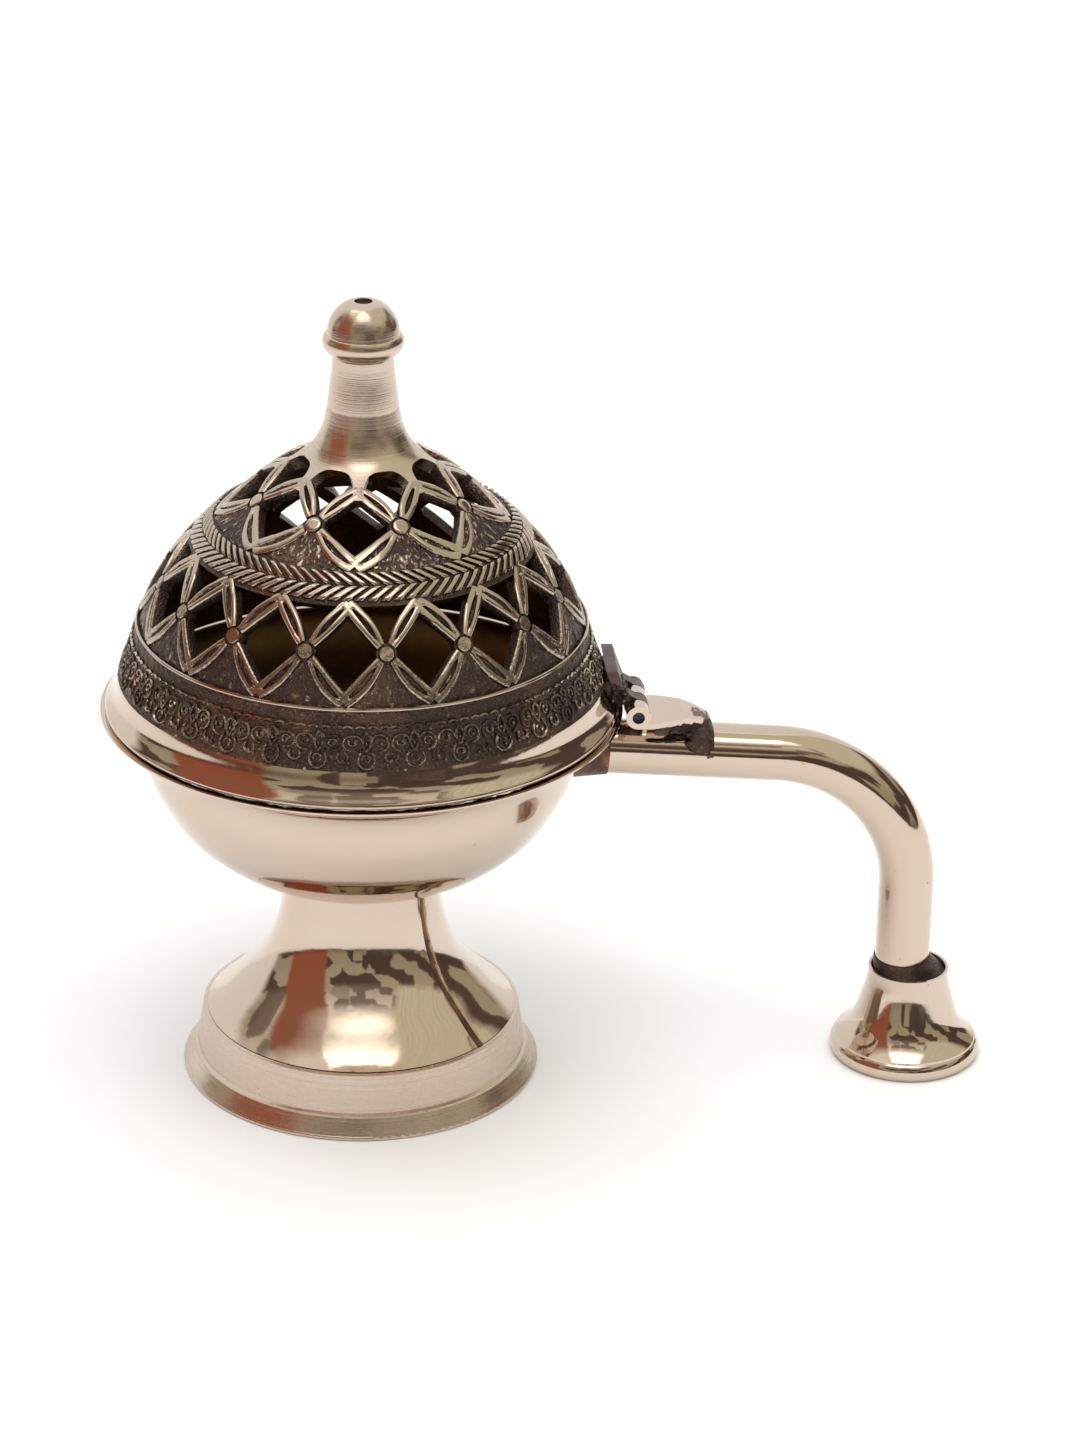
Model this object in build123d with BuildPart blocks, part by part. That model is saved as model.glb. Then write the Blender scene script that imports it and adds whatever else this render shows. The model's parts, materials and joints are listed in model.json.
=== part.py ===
"""Hand-held brass censer: footed bowl, pierced hinged lid and a downturned handle with its own foot.

Millimetres. +Z is up, the origin is the centre of the foot on the surface it stands on,
and +X runs from the bowl's axis along the handle. The lid turns about the hinge pin,
which lies along Y just outside the rim.
"""
import os
from math import cos, hypot, pi, radians, sin

from build123d import *

# ---- driving dimensions -------------------------------------------------------------------
RIM_R = 50.0             # bowl lip and lid skirt
BOWL_FLOOR_Z = 42.8      # underside of the bowl, on top of the pedestal
BOWL_FLOOR_R = 13.8
RIM_Z = 76.5             # top of the bowl's lip
RIM_GAP = 0.35           # between the bowl's lip and the lid's skirt
BOWL_WALL = 1.3

FOOT_R = 35.0
FOOT_H = 12.4
STEP_R = 32.8            # sharp step on the foot ring
STEP_Z = 4.3
CONE_R = 30.2            # bottom edge of the pedestal cone
NECK_R = 15.0
CONE_WALL = 1.0
CAP_T = 1.9
CAP_R = 13.9
SEAM_W = 0.7             # brazed seam down the cone
SEAM_AZ = -42.0          # its azimuth, degrees
SEAM_PROUD = 0.12
FLANGE_R = 31.0          # inner edge of the foot ring's standing face

LID_WALL = 2.3
LID_SEAT_Z = 137.2       # flat top of the lid's cone, which carries the finial
LID_SEAT_R = 6.75
LID_CORE_Z = 126.4       # underside of the solid core that the finial's stud goes through
LOWER_FLOWERS = 16
UPPER_FLOWERS = 8
LOWER_PHASE = 4.7        # azimuth of one flower of the lower tier, degrees from +X
UPPER_PHASE = 17.4
LOWER_Z, LOWER_R, LOWER_TILT = 103.4, 38.3, 32.6      # flower centres and the surface normal there
UPPER_Z, UPPER_R, UPPER_TILT = 120.9, 20.9, 50.0
PIERCE_DEPTH = 6.0       # how far a cutter reaches each way from the surface
# Outlines of the openings on the dome, from the flower's height: across, up the slope
LOWER_DIAMOND = [(4.2, 0), (0, 6.0), (-4.2, 0), (0, -5.6)]
LOWER_ARCH = [(0, 3.0), (4.3, 8.3), (-4.3, 8.3)]
UPPER_DIAMOND = [(5.4, 0), (0, 4.2), (-5.4, 0), (0, -5.0)]
UPPER_ARCH = [(0, 2.6), (3.4, 6.2), (2.4, 9.0), (-2.4, 9.0), (-3.4, 6.2)]

STUD_R = 1.7             # stud through the finial
NECK_TOP_Z = 147.4       # where the finial's neck meets the knob's collar
KNOB_TOP_Z = 157.6

TUBE_R = 5.4
TUBE_WALL = 1.0
HANDLE_X = 107.3         # upright run of the handle
HANDLE_ROOT_X = 38.0
HANDLE_SLOPE = 3.6       # fall of the long run, degrees
HANDLE_CORNER_Z = 63.2
HANDLE_BEND_R = 28.5
ROOT_BRAZE_T = 1.5       # at the bowl, fading to nothing along the tube
ROOT_BRAZE_L = 9.5
TUBE_END_Z = 8.0
BELL_R = 14.8
BELL_H = 18.7
BELL_WALL = 0.9
BELL_SHIFT = (1.2, -1.1)  # the bell stands a little off the tube's axis
MOUTH_R = 7.4            # inside the bell's mouth

PIN_X, PIN_Z = 52.5, 76.4
PIN_R = 1.2
KNUCKLE_R = 2.35
RUNNING_FIT = 0.05
LEAF_T = 1.1
LEAF_BEND_X = 61.6       # where the handle leaf bends down towards the tube
LEAF_TIP_X = 67.0
LEAF_FALL = 0.27         # fall of its end per millimetre
KNUCKLE_GAP = 0.3
HANDLE_KNUCKLES = ((-8.5, -5.1), (-1.4, 1.9))
LID_KNUCKLES = ((-4.8, -1.7), (2.2, 5.3))
PIN_TAIL_Y = -7.7
PIN_HEAD_Y = 5.6
LID_LEAF_Y = (-7.0, 6.5)
LID_LEAF_TOP_Z = 85.5
POST_AT = (60.4, -2.5)   # little post between the handle leaf and the tube
POST_R = 1.1

SCREW_R = 2.0            # screw through pan, bowl and pedestal cap
SCREW_HEAD_R = 4.2
SCREW_HEAD_H = 2.6
SCREW_TAIL = 6.5         # below the pedestal cap
SLOT_W, SLOT_D = 1.0, 1.1
WASHER_R, WASHER_T = 4.5, 0.8
NUT_FLATS, NUT_T = 7.0, 3.2
HOLE_PLAY = 0.15         # radial play of holes round the screw
PAN_T = 0.9
STUD_TAIL = 5.0          # of the finial's stud, below the lid's core
STUD_SUNK = 0.6          # its top below the knob's
STUD_WASHER_R, STUD_WASHER_T = 3.6, 0.6
STUD_NUT_FLATS, STUD_NUT_T = 5.8, 2.6

JOIN = 0.02              # air left between neighbours that touch on curved faces


# ---- profiles, as (radius, height) ---------------------------------------------------------
BOWL_CURVE = [(15.5, 43.2), (20.5, 44.2), (26.0, 46.4), (31.2, 50.0), (35.9, 54.7),
              (39.2, 60.0), (41.3, 65.0), (42.1, 69.0)]
LIP_CURVE = [(42.1, 69.0), (43.4, 72.0), (46.2, 74.7), (RIM_R, 76.2)]
CONE_CURVE = [(CONE_R, FOOT_H + 0.1), (27.6, 14.7), (24.5, 17.9), (20.8, 21.8), (18.1, 26.0),
              (16.6, 30.0), (15.7, 34.0), (15.2, 38.0), (NECK_R, BOWL_FLOOR_Z - 0.1)]
SKIRT_CURVE = [(RIM_R, RIM_Z + RIM_GAP), (48.6, 78.3), (47.3, 80.3), (46.6, 83.2)]
DOME_CURVE = [(46.6, 83.2), (45.4, 86.2), (44.3, 89.4), (42.6, 94.4), (40.2, 100.0),
              (37.9, 104.0), (35.1, 108.0), (31.3, 112.0), (27.1, 116.0), (22.1, 120.0),
              (17.4, 124.0), (12.5, 127.0), (10.2, 128.7), (8.6, 131.0), (7.65, 133.2),
              (7.1, 135.4), (LID_SEAT_R, LID_SEAT_Z)]
BELL_CURVE = [(13.9, 3.9), (12.5, 5.1), (11.0, 6.9), (9.9, 9.3), (9.0, 12.4), (8.2, 15.5),
              (7.9, BELL_H)]


def inward(curve, wall):
    """The same curve moved by the wall thickness towards the axis and the inside."""
    moved = []
    for i, (r, z) in enumerate(curve):
        r0, z0 = curve[max(i - 1, 0)]
        r1, z1 = curve[min(i + 1, len(curve) - 1)]
        length = hypot(r1 - r0, z1 - z0)
        moved.append((r - wall * (z1 - z0) / length, z + wall * (r1 - r0) / length))
    return moved


def bowl_outside(extra=0.0):
    """Solid of everything inside the bowl's outer surface, grown by extra; used as a cutter."""
    grown = inward(BOWL_CURVE + LIP_CURVE[1:], -extra)
    with BuildPart() as body:
        with BuildSketch(Plane.XZ):
            with BuildLine():
                side = Spline(*grown)
                Polyline(side @ 1, (0, grown[-1][1]), (0, grown[0][1]), side @ 0)
            make_face()
        revolve(axis=Axis.Z)
    return body.part


def tube_path():
    """Centreline of the handle: one straight run, one bend, one upright run."""
    root_z = HANDLE_CORNER_Z + (HANDLE_X - HANDLE_ROOT_X) * sin(radians(HANDLE_SLOPE))
    return FilletPolyline((HANDLE_ROOT_X, root_z), (HANDLE_X, HANDLE_CORNER_Z),
                          (HANDLE_X, TUBE_END_Z), radius=HANDLE_BEND_R)


def tube_height(x):
    """Height of the handle's centreline on its long straight run."""
    return HANDLE_CORNER_Z + (HANDLE_X - x) * sin(radians(HANDLE_SLOPE))


def save(builder, name):
    builder.part.label = name
    export_step(builder.part, f"parts/{name}.step")


# ---- pedestal ------------------------------------------------------------------------------
def make_foot_ring():
    with BuildPart() as foot_ring:
        with BuildSketch(Plane.XZ):
            with BuildLine():
                toe = ThreePointArc((FOOT_R - 0.3, 0), (FOOT_R, 0.4), (FOOT_R - 0.2, 0.9))
                Polyline(toe @ 1, (STEP_R + 0.1, STEP_Z - 0.4), (STEP_R, STEP_Z),
                         (STEP_R - 0.6, STEP_Z + 0.3), (STEP_R - 1.7, FOOT_H - 0.3),
                         (CONE_R + 0.3, FOOT_H), (CONE_R - 1.5, FOOT_H), (FLANGE_R - 1.7, 1.4),
                         (FLANGE_R, 0),
                         toe @ 0)
            make_face()
        revolve(axis=Axis.Z)
    save(foot_ring, "foot_ring")


def make_pedestal_cone():
    inner = inward(CONE_CURVE, CONE_WALL)
    inner[0] = (inner[0][0], CONE_CURVE[0][1])
    inner[-1] = (inner[-1][0], CONE_CURVE[-1][1])
    with BuildPart() as pedestal_cone:
        with BuildSketch(Plane.XZ):
            with BuildLine():
                outside = Spline(*CONE_CURVE)
                inside = Spline(*inner)
                Line(outside @ 0, inside @ 0)
                Line(outside @ 1, inside @ 1)
            make_face()
        revolve(axis=Axis.Z)
    save(pedestal_cone, "pedestal_cone")


def make_pedestal_seam():
    """Thin bead of braze along the cone's rolled joint, in one radial plane."""
    outer = inward(CONE_CURVE, -SEAM_PROUD)
    base = inward(CONE_CURVE, -JOIN)
    half_angle = 180 / pi * (SEAM_W / 2) / NECK_R
    with BuildPart() as pedestal_seam:
        with BuildSketch(Plane.XZ.rotated((0, 0, SEAM_AZ - half_angle))):
            with BuildLine():
                outside = Spline(*outer)
                inside = Spline(*base)
                Line(outside @ 0, inside @ 0)
                Line(outside @ 1, inside @ 1)
            make_face()
        revolve(axis=Axis.Z, revolution_arc=2 * half_angle)
    save(pedestal_seam, "pedestal_seam")


def make_pedestal_cap():
    with BuildPart() as pedestal_cap:
        with BuildSketch(Plane.XY.offset(BOWL_FLOOR_Z - CAP_T)):
            Circle(CAP_R)
            Circle(SCREW_R + HOLE_PLAY, mode=Mode.SUBTRACT)
        extrude(amount=CAP_T)
    save(pedestal_cap, "pedestal_cap")


# ---- bowl and what is inside it ------------------------------------------------------------
def make_bowl():
    side = BOWL_CURVE + LIP_CURVE[1:]
    inner = inward(side, BOWL_WALL)
    inner[-1] = (RIM_R - 1.0, RIM_Z)
    with BuildPart() as bowl:
        with BuildSketch(Plane.XZ):
            with BuildLine():
                outside = Spline(*side)
                inside = Spline(*inner)
                Polyline(outside @ 0, (BOWL_FLOOR_R, BOWL_FLOOR_Z), (SCREW_R + HOLE_PLAY, BOWL_FLOOR_Z),
                         (SCREW_R + HOLE_PLAY, BOWL_FLOOR_Z + BOWL_WALL),
                         (BOWL_FLOOR_R, BOWL_FLOOR_Z + BOWL_WALL), inside @ 0)
                Polyline(outside @ 1, (RIM_R, RIM_Z), inside @ 1)
            make_face()
        revolve(axis=Axis.Z)
    save(bowl, "bowl")


def make_charcoal_pan():
    floor_z = BOWL_FLOOR_Z + BOWL_WALL + JOIN
    outer = [(12.6, floor_z), (19.0, floor_z + 2.1), (24.5, floor_z + 4.4), (29.0, floor_z + 8.6)]
    inner = inward(outer, PAN_T)
    inner[0] = (12.2, floor_z + PAN_T)
    with BuildPart() as charcoal_pan:
        with BuildSketch(Plane.XZ):
            with BuildLine():
                outside = Spline(*outer)
                inside = Spline(*inner)
                Polyline(outside @ 0, (SCREW_R + HOLE_PLAY, floor_z), (SCREW_R + HOLE_PLAY, floor_z + PAN_T),
                         inside @ 0)
                Line(outside @ 1, inside @ 1)
            make_face()
        revolve(axis=Axis.Z)
    save(charcoal_pan, "charcoal_pan")


def make_bowl_fastener():
    head_z = BOWL_FLOOR_Z + BOWL_WALL + JOIN + PAN_T
    cap_z = BOWL_FLOOR_Z - CAP_T
    with BuildPart() as bowl_screw:
        with BuildSketch(Plane.XZ):
            with BuildLine():
                dome = TangentArc((0, head_z + SCREW_HEAD_H), (SCREW_HEAD_R, head_z), tangent=(1, 0))
                Polyline(dome @ 0, (0, cap_z - SCREW_TAIL), (SCREW_R, cap_z - SCREW_TAIL),
                         (SCREW_R, head_z), dome @ 1)
            make_face()
        revolve(axis=Axis.Z)
        with BuildSketch(Plane.XY.offset(head_z + SCREW_HEAD_H)):
            Rectangle(2 * SCREW_HEAD_R, SLOT_W)
        extrude(amount=-SLOT_D, mode=Mode.SUBTRACT)
    save(bowl_screw, "bowl_screw")
    with BuildPart() as bowl_washer:
        with BuildSketch(Plane.XY.offset(cap_z - WASHER_T)):
            Circle(WASHER_R)
            Circle(SCREW_R + HOLE_PLAY, mode=Mode.SUBTRACT)
        extrude(amount=WASHER_T)
    save(bowl_washer, "bowl_washer")
    with BuildPart() as bowl_nut:
        with BuildSketch(Plane.XY.offset(cap_z - WASHER_T - NUT_T)):
            RegularPolygon(NUT_FLATS / 2, 6, major_radius=False)
            Circle(SCREW_R, mode=Mode.SUBTRACT)
        extrude(amount=NUT_T)
    save(bowl_nut, "bowl_nut")


# ---- handle --------------------------------------------------------------------------------
def make_handle_tube():
    with BuildPart() as handle_tube:
        with BuildLine(Plane.XZ) as route:
            tube_path()
        start = route.line @ 0
        with BuildSketch(Plane(origin=start, x_dir=(0, 1, 0), z_dir=route.line % 0)):
            Circle(TUBE_R)
            Circle(TUBE_R - TUBE_WALL, mode=Mode.SUBTRACT)
        sweep(path=route.line)
        add(bowl_outside(JOIN), mode=Mode.SUBTRACT)
    save(handle_tube, "handle_tube")


def make_handle_root_braze():
    """Fillet of braze where the tube meets the bowl below the lip."""
    root = Plane(origin=(HANDLE_ROOT_X, 0, tube_height(HANDLE_ROOT_X)), x_dir=(0, 1, 0),
                 z_dir=(cos(radians(HANDLE_SLOPE)), 0, -sin(radians(HANDLE_SLOPE))))
    with BuildPart() as handle_root_braze:
        with BuildSketch(root):
            Circle(TUBE_R + ROOT_BRAZE_T)
        with BuildSketch(root.offset(ROOT_BRAZE_L)):
            Circle(TUBE_R + 0.2)
        loft()
        with BuildSketch(root.offset(-1)):
            Circle(TUBE_R + JOIN)
        extrude(amount=ROOT_BRAZE_L + 4, mode=Mode.SUBTRACT)
        add(bowl_outside(JOIN), mode=Mode.SUBTRACT)
    save(handle_root_braze, "handle_root_braze")


def make_handle_bell():
    inner = inward(BELL_CURVE, BELL_WALL)
    inner[-1] = (MOUTH_R, BELL_H)
    with BuildPart() as handle_bell:
        with BuildSketch(Plane.XZ):
            with BuildLine():
                outside = Spline(*BELL_CURVE)
                inside = Spline(*inner)
                band = ThreePointArc((BELL_R - 0.5, 0), (BELL_R, 1.1), (BELL_R - 0.5, 3.2))
                Line(outside @ 1, inside @ 1)
                Polyline(outside @ 0, (BELL_R - 0.8, 3.5), band @ 1)
                Polyline(band @ 0, (BELL_R - 2.4, 0), (BELL_R - 2.2, 1.8), inside @ 0)
            make_face()
        revolve(axis=Axis.Z)
    handle_bell.part.locate(Location((HANDLE_X + BELL_SHIFT[0], BELL_SHIFT[1], 0)))
    save(handle_bell, "handle_bell")


def make_bell_solder():
    """Solder pooled in the mouth of the bell, climbing a little way up the tube."""
    bell_axis = (HANDLE_X + BELL_SHIFT[0], BELL_SHIFT[1])
    brim_z = BELL_H - 0.6
    with BuildPart() as bell_solder:
        with BuildSketch(Plane.XY.offset(BELL_H - 4.0)):
            with Locations(bell_axis):
                Circle(MOUTH_R - 0.3)
        extrude(amount=brim_z - BELL_H + 4.0)
        with BuildSketch(Plane.XY.offset(brim_z)):
            with Locations(bell_axis):
                Circle(MOUTH_R - 0.3)
        with BuildSketch(Plane.XY.offset(BELL_H + 1.7)):
            with Locations((HANDLE_X, 0)):
                Circle(TUBE_R + 0.25)
        loft()
        with BuildSketch(Plane.XY.offset(BELL_H - 5.0)):
            with Locations((HANDLE_X, 0)):
                Circle(TUBE_R + JOIN)
        extrude(amount=8.0, mode=Mode.SUBTRACT)
    save(bell_solder, "bell_solder")


# ---- hinge ---------------------------------------------------------------------------------
def knuckle(span, bore):
    """Add one knuckle about the pin's axis, from span[0] to span[1] along Y, and bore it."""
    for radius, mode in ((KNUCKLE_R, Mode.ADD), (bore, Mode.SUBTRACT)):
        with BuildSketch(Plane.XZ.offset(-span[1])) as disc:
            with Locations((PIN_X, PIN_Z)):
                Circle(radius)
        extrude(disc.sketch, amount=span[1] - span[0], mode=mode)


def make_hinge_handle_leaf():
    leaf_z = PIN_Z - KNUCKLE_R
    notch = PIN_X + KNUCKLE_R + 0.4
    end_x = LEAF_TIP_X + 1
    end_z = leaf_z - (end_x - LEAF_BEND_X) * LEAF_FALL
    outline = [(notch, 5.4), (58.5, 4.7), (63.5, 2.7), (66.4, 0.6), (LEAF_TIP_X, -1.5),
               (65.4, -4.2), (60.5, -7.0), (notch, -8.5)]
    with BuildPart() as hinge_handle_leaf:
        with BuildSketch(Plane.XZ.offset(-6.0)):
            with BuildLine():
                Polyline((notch, leaf_z), (LEAF_BEND_X, leaf_z), (end_x, end_z),
                         (end_x, end_z + LEAF_T), (LEAF_BEND_X, leaf_z + LEAF_T),
                         (notch, leaf_z + LEAF_T), close=True)
            make_face()
        extrude(amount=15.0)
        with BuildSketch(Plane.XY.offset(leaf_z - 4)):
            with BuildLine():
                Polyline(*outline, close=True)
            make_face()
        extrude(amount=8, mode=Mode.INTERSECT)
        for span in HANDLE_KNUCKLES:
            with BuildSketch(Plane.XY.offset(leaf_z)):
                with Locations(((PIN_X + notch) / 2 + 0.2, (span[0] + span[1]) / 2)):
                    Rectangle(notch - PIN_X + 0.4, span[1] - span[0])
            extrude(amount=LEAF_T)
            knuckle(span, PIN_R)
    save(hinge_handle_leaf, "hinge_handle_leaf")


def make_leaf_post():
    with BuildPart() as leaf_post:
        with BuildSketch(Plane.XY.offset(PIN_Z - KNUCKLE_R - JOIN)):
            with Locations(POST_AT):
                Circle(POST_R)
        extrude(amount=-6)
        add(handle_cutter(), mode=Mode.SUBTRACT)
    save(leaf_post, "leaf_post")


def handle_cutter():
    """Straight solid rod a hair larger than the handle's long run; used as a cutter."""
    with BuildPart() as rod:
        with BuildSketch(Plane(origin=(HANDLE_ROOT_X, 0, tube_height(HANDLE_ROOT_X)),
                               x_dir=(0, 1, 0),
                               z_dir=(cos(radians(HANDLE_SLOPE)), 0, -sin(radians(HANDLE_SLOPE))))):
            Circle(TUBE_R + JOIN)
        extrude(amount=42)
    return rod.part


def make_leaf_solder():
    """Solder that ties the tip of the handle leaf down to the tube."""
    under_z = PIN_Z - KNUCKLE_R - 2 * JOIN
    far_x = LEAF_TIP_X + 5
    far_z = under_z - (far_x - LEAF_BEND_X) * LEAF_FALL
    with BuildPart() as leaf_solder:
        with BuildSketch(Plane.XY.offset(73.0)):
            with Locations((64.6, -1.6)):
                Ellipse(2.6, 3.8)
        with BuildSketch(Plane.XY.offset(68.0)):
            with Locations((65.0, -1.4)):
                Ellipse(3.6, 5.2)
        loft()
        with BuildSketch(Plane.XZ.offset(-10)):
            with BuildLine():
                Polyline((60.0, under_z), (LEAF_BEND_X, under_z), (far_x, far_z),
                         (far_x, 80.0), (60.0, 80.0), close=True)
            make_face()
        extrude(amount=20, mode=Mode.SUBTRACT)
        add(handle_cutter(), mode=Mode.SUBTRACT)
    save(leaf_solder, "leaf_solder")


def make_hinge_pin():
    """Steel pin with a domed head at the back; its tail ends inside the front knuckle."""
    with BuildPart() as hinge_pin:
        with BuildSketch(Plane.XZ.offset(-PIN_HEAD_Y)):
            with Locations((PIN_X, PIN_Z)):
                Circle(PIN_R)
        extrude(amount=PIN_HEAD_Y - PIN_TAIL_Y)
        with BuildSketch(Plane.XY.offset(PIN_Z)):
            with BuildLine():
                edge = (PIN_X + KNUCKLE_R - 0.15, PIN_HEAD_Y + 1.0)
                dome = TangentArc((PIN_X, PIN_HEAD_Y + 2.4), edge, tangent=(1, 0))
                Polyline(dome @ 0, (PIN_X, PIN_HEAD_Y), (edge[0], PIN_HEAD_Y), edge)
            make_face()
        revolve(axis=Axis((PIN_X, 0, PIN_Z), (0, 1, 0)))
    save(hinge_pin, "hinge_pin")


def make_hinge_lid_leaf():
    """Plate standing against the lid's skirt, with knuckles reached by two short tongues."""
    low_z = PIN_Z + KNUCKLE_R
    plate = [(46.2, LID_LEAF_TOP_Z), (48.4, LID_LEAF_TOP_Z), (49.8, 81.6), (50.6, low_z + 0.8),
             (49.6, low_z + 0.3), (48.0, 81.2), (47.1, 83.2)]
    with BuildPart() as hinge_lid_leaf:
        with BuildSketch(Plane.XZ.offset(-LID_LEAF_Y[1])):
            with BuildLine():
                Polyline(*plate, close=True)
            make_face()
        extrude(amount=LID_LEAF_Y[1] - LID_LEAF_Y[0])
        for span in LID_KNUCKLES:
            with BuildSketch(Plane.XZ.offset(-span[1])):
                with BuildLine():
                    Polyline((49.7, low_z + 0.4), (50.5, 80.0), (PIN_X, low_z),
                             (PIN_X + 1.0, PIN_Z + 1.9), (PIN_X - 1.6, PIN_Z + 1.5), close=True)
                make_face()
            extrude(amount=span[1] - span[0])
            knuckle(span, PIN_R + RUNNING_FIT)
    save(hinge_lid_leaf, "hinge_lid_leaf")


# ---- lid -----------------------------------------------------------------------------------
def lid_outer_solid(extra=0.0):
    """Everything inside the lid's outer surface, grown by extra; used as a cutter."""
    grown = inward(SKIRT_CURVE + DOME_CURVE[1:], -extra)
    with BuildPart() as body:
        with BuildSketch(Plane.XZ):
            with BuildLine():
                side = Spline(*grown)
                Polyline(side @ 1, (0, grown[-1][1]), (0, grown[0][1]), side @ 0)
            make_face()
        revolve(axis=Axis.Z)
    return body.part


def surface_plane(azimuth, radius, height, tilt):
    """Plane on the dome: x runs round it, y up its slope, z outwards."""
    a = radians(azimuth)
    t = radians(tilt)
    return Plane(origin=(radius * cos(a), radius * sin(a), height),
                 x_dir=(-sin(a), cos(a), 0), z_dir=(cos(a) * cos(t), sin(a) * cos(t), sin(t)))


def pierce(azimuth, radius, height, tilt, outline):
    """Cut one opening square through the dome's wall."""
    with BuildSketch(surface_plane(azimuth, radius, height, tilt).offset(-PIERCE_DEPTH)) as cut:
        with BuildLine():
            Polyline(*outline, close=True)
        make_face()
    extrude(cut.sketch, amount=2 * PIERCE_DEPTH, mode=Mode.SUBTRACT)


def make_lid_dome():
    """Cast dome with its flared skirt, ridge, leaf ring and two tiers of pierced lattice."""
    side = SKIRT_CURVE + DOME_CURVE[1:]
    inner = inward(side[:-5], LID_WALL)
    inner[0] = (inner[0][0] + 0.9, RIM_Z + RIM_GAP)
    inner[-1] = (8.0, LID_CORE_Z)
    with BuildPart() as lid_dome:
        with BuildSketch(Plane.XZ):
            with BuildLine():
                outside = Spline(*side)
                inside = Spline(*inner)
                Polyline(outside @ 1, (STUD_R, LID_SEAT_Z), (STUD_R, LID_CORE_Z), inside @ 1)
                Line(outside @ 0, inside @ 0)
            make_face()
        revolve(axis=Axis.Z)
        for i in range(LOWER_FLOWERS):
            flower = LOWER_PHASE + i * 360 / LOWER_FLOWERS
            between = flower + 180 / LOWER_FLOWERS
            pierce(between, LOWER_R, LOWER_Z, LOWER_TILT, LOWER_DIAMOND)
            pierce(flower, LOWER_R, LOWER_Z, LOWER_TILT, LOWER_ARCH)
        for i in range(UPPER_FLOWERS):
            flower = UPPER_PHASE + i * 360 / UPPER_FLOWERS
            between = flower + 180 / UPPER_FLOWERS
            pierce(between, UPPER_R, UPPER_Z, UPPER_TILT, UPPER_DIAMOND)
            pierce(flower, UPPER_R, UPPER_Z, UPPER_TILT, UPPER_ARCH)
    save(lid_dome, "lid_dome")


def make_lid_leaf_solder():
    """Solder run between the lid's skirt and the back of the lid leaf."""
    with BuildPart() as lid_leaf_solder:
        with BuildSketch(Plane.XZ.offset(-LID_LEAF_Y[1] + 0.4)):
            with BuildLine():
                Polyline((45.0, 83.2), (47.1 - JOIN, 83.2), (47.9, 81.2 - JOIN), (49.2, 79.4),
                         (46.0, 79.4), close=True)
            make_face()
        extrude(amount=LID_LEAF_Y[1] - LID_LEAF_Y[0] - 0.8)
        add(lid_outer_solid(JOIN), mode=Mode.SUBTRACT)
    save(lid_leaf_solder, "lid_leaf_solder")


# ---- finial --------------------------------------------------------------------------------
def make_finial():
    """Turned neck and knob in one piece: taper, flared collar, domed top with a drilled centre."""
    with BuildPart() as finial:
        with BuildSketch(Plane.XZ):
            with BuildLine():
                waist = Spline((LID_SEAT_R, LID_SEAT_Z), (6.5, 139.6), (6.05, 143.0),
                               (5.75, NECK_TOP_Z - 0.3))
                collar = Spline((5.95, NECK_TOP_Z), (6.9, 148.2), (7.55, 149.4), (7.1, 151.4))
                crown = Spline((6.9, 151.5), (6.6, 153.0), (5.75, 155.0), (4.1, 156.8),
                               (STUD_R, KNOB_TOP_Z), tangents=((-0.2, 1), (-1, 0.1)))
                Line(waist @ 1, collar @ 0)
                Line(collar @ 1, crown @ 0)
                Polyline(crown @ 1, (STUD_R, LID_SEAT_Z), waist @ 0)
            make_face()
        revolve(axis=Axis.Z)
    save(finial, "finial")


def make_finial_fastener():
    with BuildPart() as finial_stud:
        with BuildSketch(Plane.XY.offset(LID_CORE_Z - STUD_TAIL)):
            Circle(STUD_R)
        extrude(amount=KNOB_TOP_Z - STUD_SUNK - LID_CORE_Z + STUD_TAIL)
    save(finial_stud, "finial_stud")
    with BuildPart() as finial_washer:
        with BuildSketch(Plane.XY.offset(LID_CORE_Z - STUD_WASHER_T)):
            Circle(STUD_WASHER_R)
            Circle(STUD_R + 0.1, mode=Mode.SUBTRACT)
        extrude(amount=STUD_WASHER_T)
    save(finial_washer, "finial_washer")
    with BuildPart() as finial_nut:
        with BuildSketch(Plane.XY.offset(LID_CORE_Z - STUD_WASHER_T - STUD_NUT_T)):
            RegularPolygon(STUD_NUT_FLATS / 2, 6, major_radius=False)
            Circle(STUD_R, mode=Mode.SUBTRACT)
        extrude(amount=STUD_NUT_T)
    save(finial_nut, "finial_nut")


os.makedirs("parts", exist_ok=True)
make_foot_ring()
make_pedestal_cone()
make_pedestal_seam()
make_pedestal_cap()
make_bowl()
make_charcoal_pan()
make_bowl_fastener()
make_handle_tube()
make_handle_root_braze()
make_handle_bell()
make_bell_solder()
make_hinge_handle_leaf()
make_leaf_post()
make_leaf_solder()
make_hinge_pin()
make_hinge_lid_leaf()
make_lid_dome()
make_lid_leaf_solder()
make_finial()
make_finial_fastener()
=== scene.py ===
"""Looks of the hand-held brass censer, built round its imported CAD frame. Metres, +Z up."""
import json
from math import cos, pi, radians, sin, tau

import bmesh
import bpy
import numpy as np
from mathutils import Matrix, Vector
from mathutils.bvhtree import BVHTree

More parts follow.
